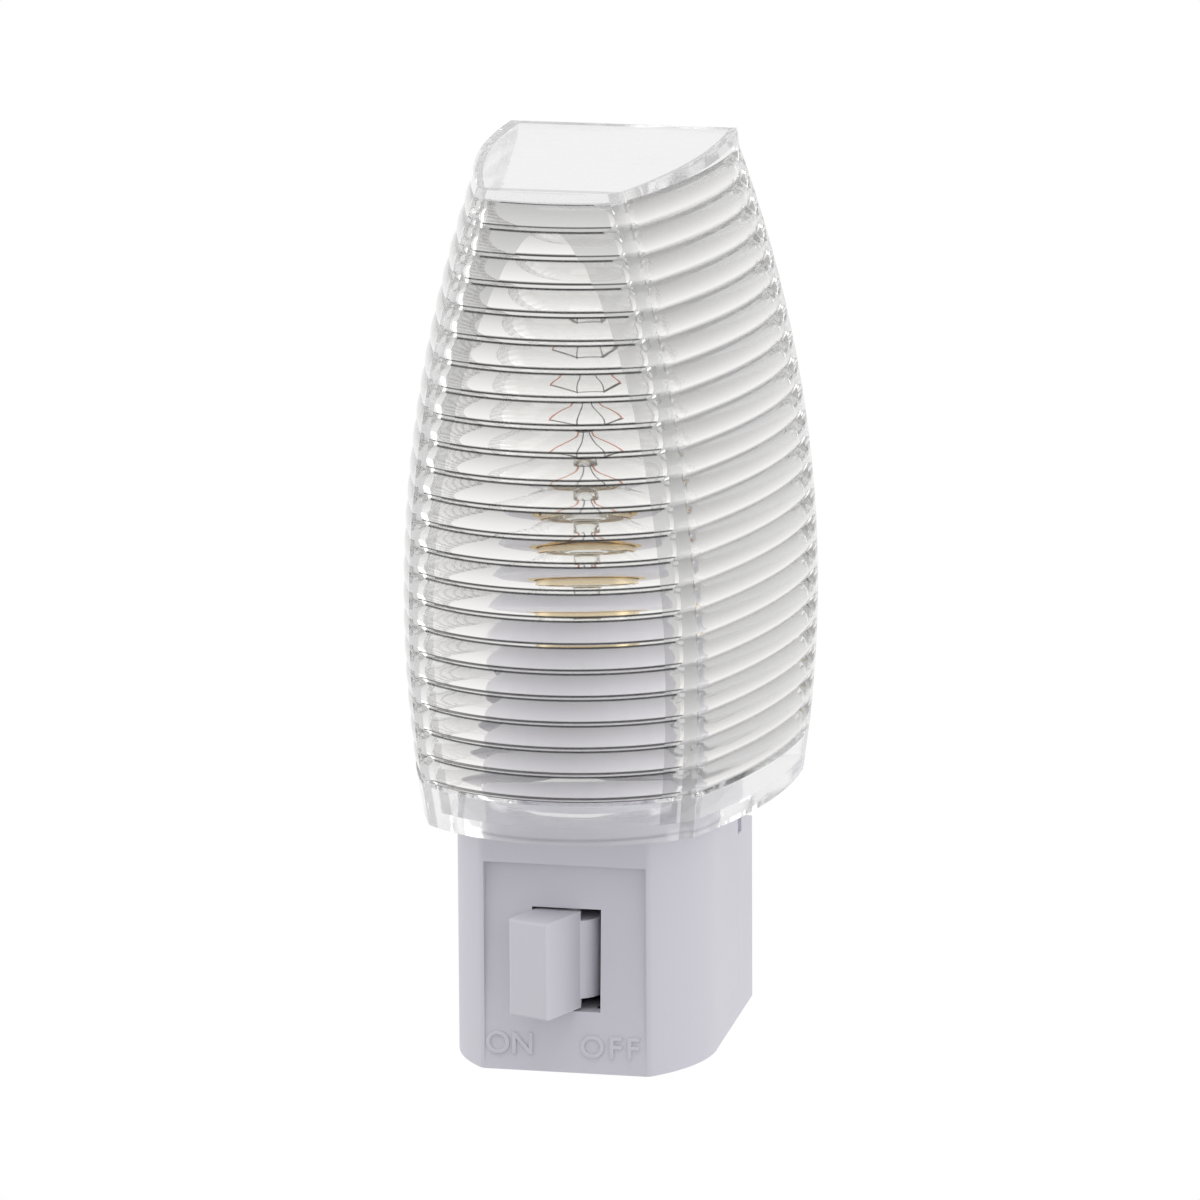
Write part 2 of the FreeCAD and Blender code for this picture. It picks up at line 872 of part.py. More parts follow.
def shade():
    rise = shadeTopBack - shadeTopFront
    levels = [(shadeBottom, crestRecess), (ribStart - plainMargin, crestRecess)]
    levels += ribLevels()
    levels.append((ribsTop() + plainMargin, crestRecess))
    wires = [outlineWire(z, inset, 0) for z, inset in levels]
    wires.append(outlineWire(shadeTopFront, crestRecess, rise))
    body = Part.makeLoft(wires, True, True)
    low = shadeBottom + shadeFloor
    step = (shadeUnder() - low) / hollowSteps
    hollow = Part.makeLoft([hollowWire(low + step * i) for i in range(hollowSteps + 1)], True, True)
    radius = columnFootRadius + shadeSlotGap
    notch = cylinder(radius, shadeFloor * 2, 0, lampY, shadeBottom - shadeFloor / 2)
    way = box(-radius, radius, lampY, shadeBack + cutMargin,
              shadeBottom - shadeFloor, shadeBottom + 2 * shadeFloor)
    return body.cut([hollow, notch, way])


def writePart(name, shape):
    shape = shape.copy()
    shape.translate(V(0, -baseDepth, -plugHeight))
    shape.exportStep("parts/" + name + ".step")
    print(name, shape.isValid(), len(shape.Solids), round(shape.Volume, 2))


def main():
    os.makedirs("parts", exist_ok=True)
    writePart("shade", shade())
    writePart("front_housing", frontHousing())
    writePart("rear_cover", rearCover())
    writePart("hot_blade", blade(bladeSpacing / 2, hotBladeHeight))
    writePart("neutral_blade", blade(-bladeSpacing / 2, neutralBladeHeight))
    writePart("hot_rivet", rivet(bladeSpacing / 2, 1))
    writePart("neutral_rivet", rivet(-bladeSpacing / 2, -1))
    writePart("hot_strip", hotStrip())
    writePart("lamp_strip", lampStrip())
    writePart("shell_strap", shellStrap())
    writePart("contact_buttons", contactButtons())
    writePart("centre_contact", centreContact())
    writePart("socket_insulator", socketInsulator())
    writePart("screw_shell", screwShell())
    writePart("switch_lever", switchLever())
    writePart("moving_contact", movingContact())
    writePart("lamp_glass", lampGlass())
    writePart("lamp_cap", lampCap())
    writePart("lamp_insulator", lampInsulator())
    writePart("lamp_tip", lampTip())
    writePart("lamp_stem", lampStem())
    writePart("left_lead_wire", leadWire(-1))
    writePart("right_lead_wire", leadWire(1))
    writePart("support_wires", supportWires())
    writePart("filament", filament())


main()
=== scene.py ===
import bpy
import bmesh
import json
from math import asin, atan, cos, hypot, pi, radians, sin, sqrt
from mathutils import Matrix, Vector


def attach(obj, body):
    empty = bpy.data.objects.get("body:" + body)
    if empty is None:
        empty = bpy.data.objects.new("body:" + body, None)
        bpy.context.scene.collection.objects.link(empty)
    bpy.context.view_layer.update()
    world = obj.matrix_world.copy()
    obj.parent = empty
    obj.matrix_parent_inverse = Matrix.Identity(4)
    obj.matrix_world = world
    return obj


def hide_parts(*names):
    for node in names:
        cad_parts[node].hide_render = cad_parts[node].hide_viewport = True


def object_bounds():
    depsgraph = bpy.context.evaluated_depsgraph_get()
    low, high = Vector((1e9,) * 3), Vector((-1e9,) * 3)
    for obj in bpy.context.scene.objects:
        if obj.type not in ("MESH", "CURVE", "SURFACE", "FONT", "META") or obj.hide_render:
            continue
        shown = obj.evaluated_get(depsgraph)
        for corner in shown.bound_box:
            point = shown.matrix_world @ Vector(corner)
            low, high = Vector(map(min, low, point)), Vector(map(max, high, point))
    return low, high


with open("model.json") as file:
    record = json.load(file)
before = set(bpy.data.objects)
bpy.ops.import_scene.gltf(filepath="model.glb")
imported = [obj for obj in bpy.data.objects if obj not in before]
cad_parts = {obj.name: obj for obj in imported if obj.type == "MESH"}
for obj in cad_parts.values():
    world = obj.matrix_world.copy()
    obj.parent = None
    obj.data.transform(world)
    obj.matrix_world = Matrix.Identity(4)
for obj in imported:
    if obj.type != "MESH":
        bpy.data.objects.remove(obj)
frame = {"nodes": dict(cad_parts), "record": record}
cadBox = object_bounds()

# Plug-in night light. Pieces are modelled in millimetres in the base's own frame:
# X to the right, Y = 0 on the front of the base and growing towards the wall, Z = 0
# on the underside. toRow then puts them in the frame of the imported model, in metres.

baseSize = {"depth": 34.0, "plugHeight": 13.0}
toRow = (Matrix.Diagonal((0.001, 0.001, 0.001, 1.0))
         @ Matrix.Translation((0, -baseSize["depth"], -baseSize["plugHeight"])))


def finishPiece(bm, name, body, material, sharpAngle=35, inMillimetres=True):
    # Turns a bmesh into an object that rides on its body.
    if inMillimetres:
        bmesh.ops.transform(bm, matrix=toRow, verts=bm.verts)
    mesh = bpy.data.meshes.new(name)
    bm.to_mesh(mesh)
    bm.free()
    mesh.shade_smooth()
    mesh.set_sharp_from_angle(angle=radians(sharpAngle))
    mesh.materials.append(material)
    piece = bpy.data.objects.new(name, mesh)
    bpy.context.scene.collection.objects.link(piece)
    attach(piece, body)
    return piece


# Camera

cameraView = {"azimuth": 12.73, "elevation": 12.24, "roll": -0.32, "focalPixels": 9221.0,
              "pixelsPerMm": 8.691, "target": (0.0, -0.016, 0.047), "targetPixel": (597.4, 528.2),
              "framePixels": 1200.0, "sensor": 36.0}


def addCamera(view):
    data = bpy.data.cameras.new("camera")
    camera = bpy.data.objects.new("camera", data)
    bpy.context.scene.collection.objects.link(camera)
    data.sensor_width = view["sensor"]
    data.lens = view["focalPixels"] / view["framePixels"] * view["sensor"]
    data.clip_start = 0.05
    data.clip_end = 20
    azimuth = radians(view["azimuth"])
    elevation = radians(view["elevation"])
    distance = view["focalPixels"] / view["pixelsPerMm"] * 0.001
    back = Vector((sin(azimuth) * cos(elevation), -cos(azimuth) * cos(elevation), sin(elevation)))
    camera.location = Vector(view["target"]) + back * distance
    middle = view["framePixels"] / 2
    turnRight = atan((middle - view["targetPixel"][0]) / view["focalPixels"])
    turnDown = atan((middle - view["targetPixel"][1]) / view["focalPixels"])
    aim = (Matrix.Rotation(azimuth - turnRight, 4, "Z")
           @ Matrix.Rotation(pi / 2 - elevation - turnDown, 4, "X")
           @ Matrix.Rotation(radians(view["roll"]), 4, "Z"))
    camera.rotation_euler = aim.to_euler()
    bpy.context.scene.camera = camera


addCamera(cameraView)
print("camera placed")

# Light that clear plastic pipes along its walls leaves only after many reflections.

lightPaths = bpy.context.scene.cycles
lightPaths.max_bounces = 40
lightPaths.glossy_bounces = 32
lightPaths.transmission_bounces = 40


# Materials

def newMaterial(name):
    material = bpy.data.materials.new(name)
    material.use_nodes = True
    return material, material.node_tree, material.node_tree.nodes["Principled BSDF"]


def addNode(tree, kind, **sockets):
    node = tree.nodes.new(kind)
    for socket, value in sockets.items():
        node.inputs[socket.replace("_", " ")].default_value = value
    return node


def mouldedGrain():
    # Faint mottling and texture of moulded plastic: colour, roughness and height.
    group = bpy.data.node_groups.new("mouldedGrain", "ShaderNodeTree")
    face = group.interface
    face.new_socket("Color", in_out="INPUT", socket_type="NodeSocketColor")
    face.new_socket("Mottle", in_out="INPUT", socket_type="NodeSocketFloat")
    face.new_socket("Roughness", in_out="INPUT", socket_type="NodeSocketFloat")
    face.new_socket("Scale", in_out="INPUT", socket_type="NodeSocketFloat")
    face.new_socket("Color", in_out="OUTPUT", socket_type="NodeSocketColor")
    face.new_socket("Roughness", in_out="OUTPUT", socket_type="NodeSocketFloat")
    face.new_socket("Height", in_out="OUTPUT", socket_type="NodeSocketFloat")
    start = group.nodes.new("NodeGroupInput")
    end = group.nodes.new("NodeGroupOutput")
    coords = group.nodes.new("ShaderNodeTexCoord")
    broad = addNode(group, "ShaderNodeTexNoise", Scale=90.0, Detail=3.0)
    fine = addNode(group, "ShaderNodeTexNoise", Detail=2.0)
    tone = addNode(group, "ShaderNodeMapRange", To_Min=-1.0, To_Max=1.0)
    amount = group.nodes.new("ShaderNodeMath")
    amount.operation = "MULTIPLY_ADD"
    amount.inputs[2].default_value = 1.0
    shade = group.nodes.new("ShaderNodeVectorMath")
    shade.operation = "SCALE"
    rough = group.nodes.new("ShaderNodeMath")
    rough.operation = "MULTIPLY_ADD"
    rough.inputs[1].default_value = 0.10
    link = group.links.new
    link(coords.outputs["Object"], broad.inputs["Vector"])
    link(coords.outputs["Object"], fine.inputs["Vector"])
    link(start.outputs["Scale"], fine.inputs["Scale"])
    link(broad.outputs["Fac"], tone.inputs["Value"])
    link(tone.outputs["Result"], amount.inputs[0])
    link(start.outputs["Mottle"], amount.inputs[1])
    link(start.outputs["Color"], shade.inputs[0])
    link(amount.outputs["Value"], shade.inputs["Scale"])
    link(shade.outputs["Vector"], end.inputs["Color"])
    link(tone.outputs["Result"], rough.inputs[0])
    link(start.outputs["Roughness"], rough.inputs[2])
    link(rough.outputs["Value"], end.inputs["Roughness"])
    link(fine.outputs["Fac"], end.inputs["Height"])
    return group


grainGroup = mouldedGrain()


def addGrain(tree, shader, color, mottle, roughness, scale, bump):
    grain = tree.nodes.new("ShaderNodeGroup")
    grain.node_tree = grainGroup
    grain.inputs["Color"].default_value = (*color, 1.0)
    grain.inputs["Mottle"].default_value = mottle
    grain.inputs["Roughness"].default_value = roughness
    grain.inputs["Scale"].default_value = scale
    rise = addNode(tree, "ShaderNodeBump", Strength=bump, Distance=0.0001)
    tree.links.new(grain.outputs["Color"], shader.inputs["Base Color"])
    tree.links.new(grain.outputs["Roughness"], shader.inputs["Roughness"])
    tree.links.new(grain.outputs["Height"], rise.inputs["Height"])
    tree.links.new(rise.outputs["Normal"], shader.inputs["Normal"])


def mouldedPlastic(name, color, roughness=0.42, bump=0.12):
    material, tree, shader = newMaterial(name)
    shader.inputs["IOR"].default_value = 1.46
    addGrain(tree, shader, color, mottle=0.012, roughness=roughness, scale=2600.0, bump=bump)
    return material


def workedMetal(name, color, roughness=0.28, bump=0.10):
    material, tree, shader = newMaterial(name)
    shader.inputs["Metallic"].default_value = 1.0
    addGrain(tree, shader, color, mottle=0.06, roughness=roughness, scale=1800.0, bump=bump)
    return material


def clearMaterial(name, color, ior, roughness, bump, scale):
    # Clear plastic or glass, with a slow waviness that breaks its reflections.
    material, tree, shader = newMaterial(name)
    shader.inputs["Metallic"].default_value = 0.0
    shader.inputs["Transmission Weight"].default_value = 1.0
    shader.inputs["IOR"].default_value = ior
    addGrain(tree, shader, color, mottle=0.0, roughness=roughness, scale=scale, bump=bump)
    return material


shadeSize = {
    "bottom": 28.9, "back": 33.0, "wall": 1.7, "floor": 2.0, "topFront": 103.5, "topBack": 104.6,
    "frontHalf": 16.8, "frontWidest": 50.0, "frontOutline": 172.0,
    "backHalf": 23.0, "backWidest": 51.5, "backOutline": 141.0,
    "cornerY": -6.2, "cornerForemost": 78.0, "cornerOutline": 265.0,
    "frontArc": 21.8, "sideBow": 1.9, "strip": 1.35, "backStrip": 3.0,
    "ribs": 22, "ribPitch": 3.1, "ribDepth": 0.6, "ribStart": 34.1,
    "margin": 0.3, "ribFade": 1.1, "stripFade": 0.35, "recess": 0.08,
    "rowsPerRib": 8, "frontColumns": 15, "sideColumns": 14,
    "notchRadius": 12.4, "notchSteps": 32, "lampY": 12.5,
    "frontRun": 14.5, "rimBand": 0.4, "fadeSteps": (0.35, 0.7, 0.9), "innerFront": 0.97, "innerSide": 0.04,
}

# Colours of the clear shade: plain is the plastic's own tint; the rest sets the painted light and shade on
# its ribs and corner strips.
ribTintAndPaintedShading = {"plain": (0.95, 0.95, 0.952), "warmth": (1.0, 0.99, 0.975), "paintedStripShade": 0.50, "upright": 0.9}
# Painted light and shade across one rib, from groove to groove: bright painted bands and dark painted
# groove lines.
paintedFrontRibShading = ((0.0, 0.02), (0.035, 0.02), (0.06, 0.80), (0.15, 0.86), (0.18, 0.03), (0.215, 0.03),
             (0.25, 1.0), (0.50, 0.88), (0.88, 0.66), (0.95, 0.60), (0.975, 0.02), (1.0, 0.02))
paintedSideRibShading = ((0.0, 0.34), (0.10, 0.55), (0.20, 1.0), (0.34, 0.82), (0.62, 0.56), (0.90, 0.40), (1.0, 0.34))


def paintedRibShading(size, tintWithPaintedLight):
    # Painted light and shade over each rib: bright painted bands for light the ribs gather and dark painted
    # lines in the grooves, fitted to the photograph.
    group = bpy.data.node_groups.new("paintedRibShading", "ShaderNodeTree")
    group.interface.new_socket("Color", in_out="OUTPUT", socket_type="NodeSocketColor")
    end = group.nodes.new("NodeGroupOutput")
    link = group.links.new

    def calc(operation, *values):
        node = group.nodes.new("ShaderNodeMath")
        node.operation = operation
        for socket, value in zip(node.inputs, values):
            if isinstance(value, (int, float)):
                socket.default_value = value
            else:
                link(value, socket)
        return node.outputs["Value"]

    def ramp(marks, factor):
        node = group.nodes.new("ShaderNodeValToRGB")
        elements = node.color_ramp.elements
        while len(elements) < len(marks):
            elements.new(0.5)
        for element, (place, tone) in zip(elements, marks):
            element.position = place
            element.color = (*(tone * share for share in tintWithPaintedLight["warmth"]), 1)
        link(factor, node.inputs["Fac"])
        return node.outputs["Color"]

    def mixed(factor, first, second):
        node = group.nodes.new("ShaderNodeMix")
        node.data_type = "RGBA"
        link(factor, node.inputs["Factor"])
        for socket, value in ((node.inputs["A"], first), (node.inputs["B"], second)):
            link(value, socket)
        return node.outputs["Result"]

    coords = group.nodes.new("ShaderNodeTexCoord")
    place = group.nodes.new("ShaderNodeSeparateXYZ")
    facing = group.nodes.new("ShaderNodeSeparateXYZ")
    link(coords.outputs["Object"], place.inputs["Vector"])
    link(coords.outputs["Normal"], facing.inputs["Vector"])
    y = calc("MULTIPLY_ADD", place.outputs["Y"], 1000.0, baseSize["depth"])
    z = calc("MULTIPLY_ADD", place.outputs["Z"], 1000.0, baseSize["plugHeight"])
    rib = calc("DIVIDE", calc("SUBTRACT", z, size["ribStart"]), size["ribPitch"])
    phase = calc("FRACT", rib)
    ribbed = calc("MULTIPLY", calc("GREATER_THAN", rib, 0.0), calc("LESS_THAN", rib, float(size["ribs"])))
    spread = calc("POWER", calc("ABSOLUTE", calc("SUBTRACT", z, size["cornerForemost"])), 2.0)
    corner = calc("MULTIPLY_ADD", spread, 0.5 / size["cornerOutline"], size["cornerY"])
    behind = calc("SUBTRACT", y, corner)
    outward = calc("LESS_THAN", facing.outputs["Y"], 0.0)
    front = calc("MULTIPLY", calc("LESS_THAN", behind, -size["strip"]), outward)
    strip = calc("MULTIPLY", calc("COMPARE", behind, -size["strip"] / 2, size["strip"] / 2), outward)
    upright = calc("LESS_THAN", calc("ABSOLUTE", facing.outputs["Z"]), tintWithPaintedLight["upright"])
    onSide = calc("MULTIPLY", calc("MULTIPLY", calc("GREATER_THAN", behind, 0.0), outward), upright)
    plain = group.nodes.new("ShaderNodeRGB")
    plain.outputs["Color"].default_value = (*tintWithPaintedLight["plain"], 1)
    # Flat painted shade on the corner strips of the shade.
    paintedStripShade = group.nodes.new("ShaderNodeRGB")
    paintedStripShade.outputs["Color"].default_value = (tintWithPaintedLight["paintedStripShade"],) * 3 + (1,)
    # Ribs on the front and the sides take the painted light and shade of their ramps.
    tone = mixed(calc("MULTIPLY", front, ribbed), plain.outputs["Color"], ramp(paintedFrontRibShading, phase))
    tone = mixed(calc("MULTIPLY", onSide, ribbed), tone, ramp(paintedSideRibShading, phase))
    tone = mixed(strip, tone, paintedStripShade.outputs["Color"])
    link(tone, end.inputs["Color"])
    return group


def clearShadeMaterial():
    material = clearMaterial("clearShade", ribTintAndPaintedShading["plain"],
                             ior=1.49, roughness=0.03, bump=0.10, scale=260.0)
    tree = material.node_tree
    tone = tree.nodes.new("ShaderNodeGroup")
    tone.node_tree = paintedRibShading(shadeSize, ribTintAndPaintedShading)
    shader = tree.nodes["Principled BSDF"]
    # The base colour carries the painted light and shade of the ribs.
    tree.links.new(tone.outputs["Color"], shader.inputs["Base Color"])
    # The lamps also shine through the shade on to what stands inside it.
    lightPath = tree.nodes.new("ShaderNodeLightPath")
    letThrough = addNode(tree, "ShaderNodeBsdfTransparent", Color=(0.93, 0.93, 0.935, 1.0))
    choose = tree.nodes.new("ShaderNodeMixShader")
    tree.links.new(lightPath.outputs["Is Shadow Ray"], choose.inputs["Fac"])
    tree.links.new(shader.outputs["BSDF"], choose.inputs[1])
    tree.links.new(letThrough.outputs["BSDF"], choose.inputs[2])
    tree.links.new(choose.outputs["Shader"], tree.nodes["Material Output"].inputs["Surface"])
    return material


housingColor = (0.660, 0.650, 0.700)
# Painted light: the column above the shade's bottom is painted whiter than the rest of the moulding.
paintedColumnLight = {"from": shadeSize["bottom"], "blend": 0.3, "color": (0.97, 0.96, 1.0)}


def housingMaterial(tintWithPaintedLight):
    # One moulding: the column is only painted whiter, for the light that does not reach it in the shade.
    material = mouldedPlastic("housingPlastic", housingColor)
    tree = material.node_tree
    grain = next(node for node in tree.nodes if node.type == "GROUP")
    coords = tree.nodes.new("ShaderNodeTexCoord")
    place = tree.nodes.new("ShaderNodeSeparateXYZ")
    low = (tintWithPaintedLight["from"] - baseSize["plugHeight"]) * 0.001
    amount = addNode(tree, "ShaderNodeMapRange", From_Min=low, From_Max=low + tintWithPaintedLight["blend"] * 0.001)
    mix = tree.nodes.new("ShaderNodeMix")
    mix.data_type = "RGBA"
    mix.inputs["A"].default_value = grain.inputs["Color"].default_value[:]
    mix.inputs["B"].default_value = (*tintWithPaintedLight["color"], 1.0)
    tree.links.new(coords.outputs["Object"], place.inputs["Vector"])
    tree.links.new(place.outputs["Z"], amount.inputs["Value"])
    tree.links.new(amount.outputs["Result"], mix.inputs["Factor"])
    tree.links.new(mix.outputs["Result"], grain.inputs["Color"])
    return material


finishes = {
    "clear_shade": clearShadeMaterial(),
    "lamp_glass": clearMaterial("bulbGlass", (0.99, 0.99, 0.985),
                                ior=1.50, roughness=0.0, bump=0.05, scale=160.0),
    "stem_glass": clearMaterial("stemGlass", (0.97, 0.98, 0.96),
                                ior=1.52, roughness=0.02, bump=0.05, scale=300.0),
    "housing_plastic": housingMaterial(paintedColumnLight),
    "lever_plastic": mouldedPlastic("leverPlastic", (0.670, 0.660, 0.705), 0.38),
    "insulator_board": mouldedPlastic("fibreBoard", (0.20, 0.11, 0.06), 0.7, 0.5),
    "cap_insulator": mouldedPlastic("blackInsulator", (0.02, 0.02, 0.022), 0.15),
    "blade_brass": workedMetal("bladeBrass", (0.72, 0.55, 0.27), 0.30),
    "contact_brass": workedMetal("contactBrass", (0.74, 0.55, 0.25), 0.32),
    "cap_brass": workedMetal("capBrass", (0.84, 0.70, 0.46), 0.26),
    "rivet_steel": workedMetal("rivetSteel", (0.58, 0.58, 0.57), 0.30),
    "contact_silver": workedMetal("contactSilver", (0.80, 0.79, 0.76), 0.25),
    "solder": workedMetal("solderTip", (0.52, 0.52, 0.50), 0.42),
    "lead_wire": workedMetal("copperLead", (0.70, 0.26, 0.13), 0.28),
    "support_wire": workedMetal("supportWire", (0.20, 0.19, 0.18), 0.35),
    "filament_wire": workedMetal("tungstenCoil", (0.22, 0.20, 0.19), 0.40),
}
print("materials made")

slotOfNode = {row["node"]: row["material_slot"] for row in frame["record"]["subparts"]}
for nodeName, nodeObject in frame["nodes"].items():
    for materialSlot in nodeObject.material_slots:
        materialSlot.link = "OBJECT"
        materialSlot.material = finishes[slotOfNode[nodeName]]


# Shade


def shadeSection(size, z):
    # Front half width, back half width and corner depth of the shade at height z.
    front = size["frontHalf"] - (z - size["frontWidest"]) ** 2 / (2 * size["frontOutline"])
    back = size["backHalf"] - (z - size["backWidest"]) ** 2 / (2 * size["backOutline"])
    corner = size["cornerY"] + (z - size["cornerForemost"]) ** 2 / (2 * size["cornerOutline"])
    return front, back, corner


def frontPoint(size, z, inset, share):
    front, _, corner = shadeSection(size, z)
    end = front - size["strip"]
    turn = asin(end / size["frontArc"]) * share
    centre = corner - size["strip"] + sqrt(size["frontArc"] ** 2 - end ** 2)
    radius = size["frontArc"] - inset
    return Vector((radius * sin(turn), centre - radius * cos(turn), z))


def sidePoint(size, z, inset, share):
    front, back, corner = shadeSection(size, z)
    run = size["back"] - corner
    x = front + (back - front) * share + size["sideBow"] * 4 * share * (1 - share)
    length = hypot(back - front, run)
    return Vector((x - inset * run / length, corner + run * share + inset * (back - front) / length, z))


def shadeStations(size):
    # Places along the right half of the outline: kind, share along it, rib strength.
    stations = []
    count = size["frontColumns"]
    for i in range(count):
        stations.append(("front", i / count, 1.0))
    fade = size["stripFade"] / size["frontRun"]
    stations[-1] = ("front", 1 - fade, 1.0)
    stations += [("front", 1.0, 0.0), ("strip", 0.5, 0.0), ("side", 0.0, 0.0)]
    length = size["back"] - size["cornerY"]
    start = size["stripFade"] / length
    end = 1 - size["backStrip"] / length
    fadeStart = end - size["ribFade"] / length
    count = size["sideColumns"]
    for i in range(count + 1):
        stations.append(("side", start + (fadeStart - start) * i / count, 1.0))
    for step in size["fadeSteps"]:
        stations.append(("side", fadeStart + (end - fadeStart) * step, 1 - step ** 2))
    stations += [("side", end, 0.0), ("side", 1.0, 0.0)]
    return stations


def stationPoint(size, station, z, inset):
    kind, share, strength = station
    if kind == "front":
        return frontPoint(size, z, inset * strength + size["recess"], share)
    if kind == "strip":
        return (frontPoint(size, z, size["recess"], 1.0) + sidePoint(size, z, size["recess"], 0.0)) / 2
    return sidePoint(size, z, inset * strength + size["recess"], share)


def ribInset(size, t):
    # Circular rib: no inset on its crest, the full depth in the groove.
    half = size["ribPitch"] / 2
    radius = (half ** 2 + size["ribDepth"] ** 2) / (2 * size["ribDepth"])
    return radius - sqrt(radius ** 2 - ((2 * t - 1) * half) ** 2)


def shadeRows(size):
    band = size["rimBand"]
    rows = [(size["bottom"], 0.0), (size["bottom"] + band, 0.0), (size["ribStart"] - size["margin"], 0.0)]
    per = size["rowsPerRib"]
    for i in range(size["ribs"] * per + 1):
        inRib = (i % per) / per
        rows.append((size["ribStart"] + i / per * size["ribPitch"], ribInset(size, inRib)))
    ribsTop = size["ribStart"] + size["ribs"] * size["ribPitch"]
    rows += [(ribsTop + size["margin"], 0.0), (size["topFront"] - band, 0.0), (size["topFront"], 0.0)]
    return rows


def innerPoint(size, station, z):
    kind, share = station[:2]
    wall = size["wall"]
    if kind == "front":
        return frontPoint(size, z, wall, share * size["innerFront"])
    if kind == "strip":
        front = frontPoint(size, z, wall, size["innerFront"])
        return (front + sidePoint(size, z, wall, size["innerSide"])) / 2
    point = sidePoint(size, z, wall, max(share, size["innerSide"]))
    if share == 1.0:
        point.y = size["back"]
    return point


def mirroredStations(stations):
    left = [(station, -1) for station in reversed(stations[1:])]
    return left + [(station, 1) for station in stations]


def gridSurface(bm, columns, rows, pointAt):
    # A grid whose vertices are moved to pointAt(column, row).
    made = bmesh.ops.create_grid(bm, x_segments=columns - 1, y_segments=rows - 1, size=0.5)
    table = {}
    for vert in made["verts"]:
        column = round((vert.co.x + 0.5) * (columns - 1))
        row = round((vert.co.y + 0.5) * (rows - 1))
        vert.co = pointAt(column, row)
        table[column, row] = vert
    return table


def edgeBetween(bm, a, b):
    return bm.edges.get((a, b)) or bm.edges.new((a, b))


def closeShadeSkin(bm, size, table, columns, rows, z):
    # Closes one skin with its top panel and its notched floor; returns its rim.
    topLeft, topRight = table[0, rows - 1], table[columns - 1, rows - 1]
    topEdge = edgeBetween(bm, topLeft, topRight)
    topRow = [edgeBetween(bm, table[i, rows - 1], table[i + 1, rows - 1]) for i in range(columns - 1)]
    bmesh.ops.edgeloop_fill(bm, edges=topRow + [topEdge])
    radius = size["notchRadius"]
    start = bm.verts.new((radius, size["lampY"], z))
    arc = bmesh.ops.spin(bm, geom=[start], cent=(0, size["lampY"], z), axis=(0, 0, 1),
                         angle=-pi, steps=size["notchSteps"], dvec=(0, 0, 0))
    end = [item for item in arc["geom_last"] if isinstance(item, bmesh.types.BMVert)][0]
    arcEdges = [edge for edge in bm.edges
                if all(abs(hypot(v.co.x, v.co.y - size["lampY"]) - radius) < 1e-4 and abs(v.co.z - z) < 1e-4
                       for v in edge.verts)]
    rightBack = bm.verts.new((radius, size["back"], z))
    leftBack = bm.verts.new((-radius, size["back"], z))
    if start.co.x < end.co.x:
        start, end = end, start
    floorEdges = arcEdges + [
        bm.edges.new((table[columns - 1, 0], rightBack)), bm.edges.new((rightBack, start)),
        bm.edges.new((end, leftBack)), bm.edges.new((leftBack, table[0, 0]))]
    bottomRow = [edgeBetween(bm, table[i, 0], table[i + 1, 0]) for i in range(columns - 1)]
    bmesh.ops.edgeloop_fill(bm, edges=bottomRow + floorEdges)
    rim = floorEdges + [topEdge]
    for column in (0, columns - 1):
        rim += [edgeBetween(bm, table[column, j], table[column, j + 1]) for j in range(rows - 1)]
    return rim


def buildShade(size):
    bm = bmesh.new()
    stations = mirroredStations(shadeStations(size))
    rows = shadeRows(size)

    def slopeTop(point, nose):
        rise = size["topBack"] - size["topFront"]
        point.z += rise * (point.y - nose) / (size["back"] - nose)

    def outer(column, row):
        station, side = stations[column]
        z, inset = rows[row]
        point = stationPoint(size, station, z, inset)
        if row >= len(rows) - 2:
            slopeTop(point, stationPoint(size, ("front", 0.0, 0.0), z, 0).y)
        point.x *= side
        return point

    low = size["bottom"] + size["floor"]
    under = size["topFront"] - size["wall"]

    def inner(column, row):
        station, side = stations[column]
        share = (rows[row][0] - size["bottom"]) / (size["topFront"] - size["bottom"])
        point = innerPoint(size, station, low + (under - low) * share)
        if row >= len(rows) - 2:
            slopeTop(point, innerPoint(size, ("front", 0.0, 0.0), under).y)
        point.x *= side
        return point

    columns = len(stations)
    outside = gridSurface(bm, columns, len(rows), outer)
    outerRim = closeShadeSkin(bm, size, outside, columns, len(rows), size["bottom"])
    inside = gridSurface(bm, columns, len(rows), inner)
    innerRim = closeShadeSkin(bm, size, inside, columns, len(rows), low)
    bmesh.ops.bridge_loops(bm, edges=outerRim + innerRim)
    bmesh.ops.remove_doubles(bm, verts=bm.verts, dist=1e-4)
    bmesh.ops.recalc_face_normals(bm, faces=bm.faces)
    print("shade faces", len(bm.faces), "open edges", sum(not edge.is_manifold for edge in bm.edges))
    piece = finishPiece(bm, "ribbedShade", "shade", finishes["clear_shade"], sharpAngle=38)
    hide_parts("shade")
    return piece


buildShade(shadeSize)
print("shade built")


# Mouldings of the base and the lever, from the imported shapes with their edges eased

def easedCopy(node, name, body, slotName, ease, sharpAngle=30):
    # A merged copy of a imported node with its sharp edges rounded.
    bm = bmesh.new()
    bm.from_mesh(frame["nodes"][node].data)
    bmesh.ops.remove_doubles(bm, verts=bm.verts, dist=1e-6)
    bmesh.ops.dissolve_limit(bm, angle_limit=radians(0.4), verts=bm.verts, edges=bm.edges)
    piece = finishPiece(bm, name, body, finishes[slotName], sharpAngle, inMillimetres=False)
    bevel = piece.modifiers.new("easedEdges", "BEVEL")
    bevel.width = ease
    bevel.segments = 3
    bevel.limit_method = "ANGLE"
    bevel.angle_limit = radians(sharpAngle)
    bevel.harden_normals = True
    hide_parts(node)
    return piece


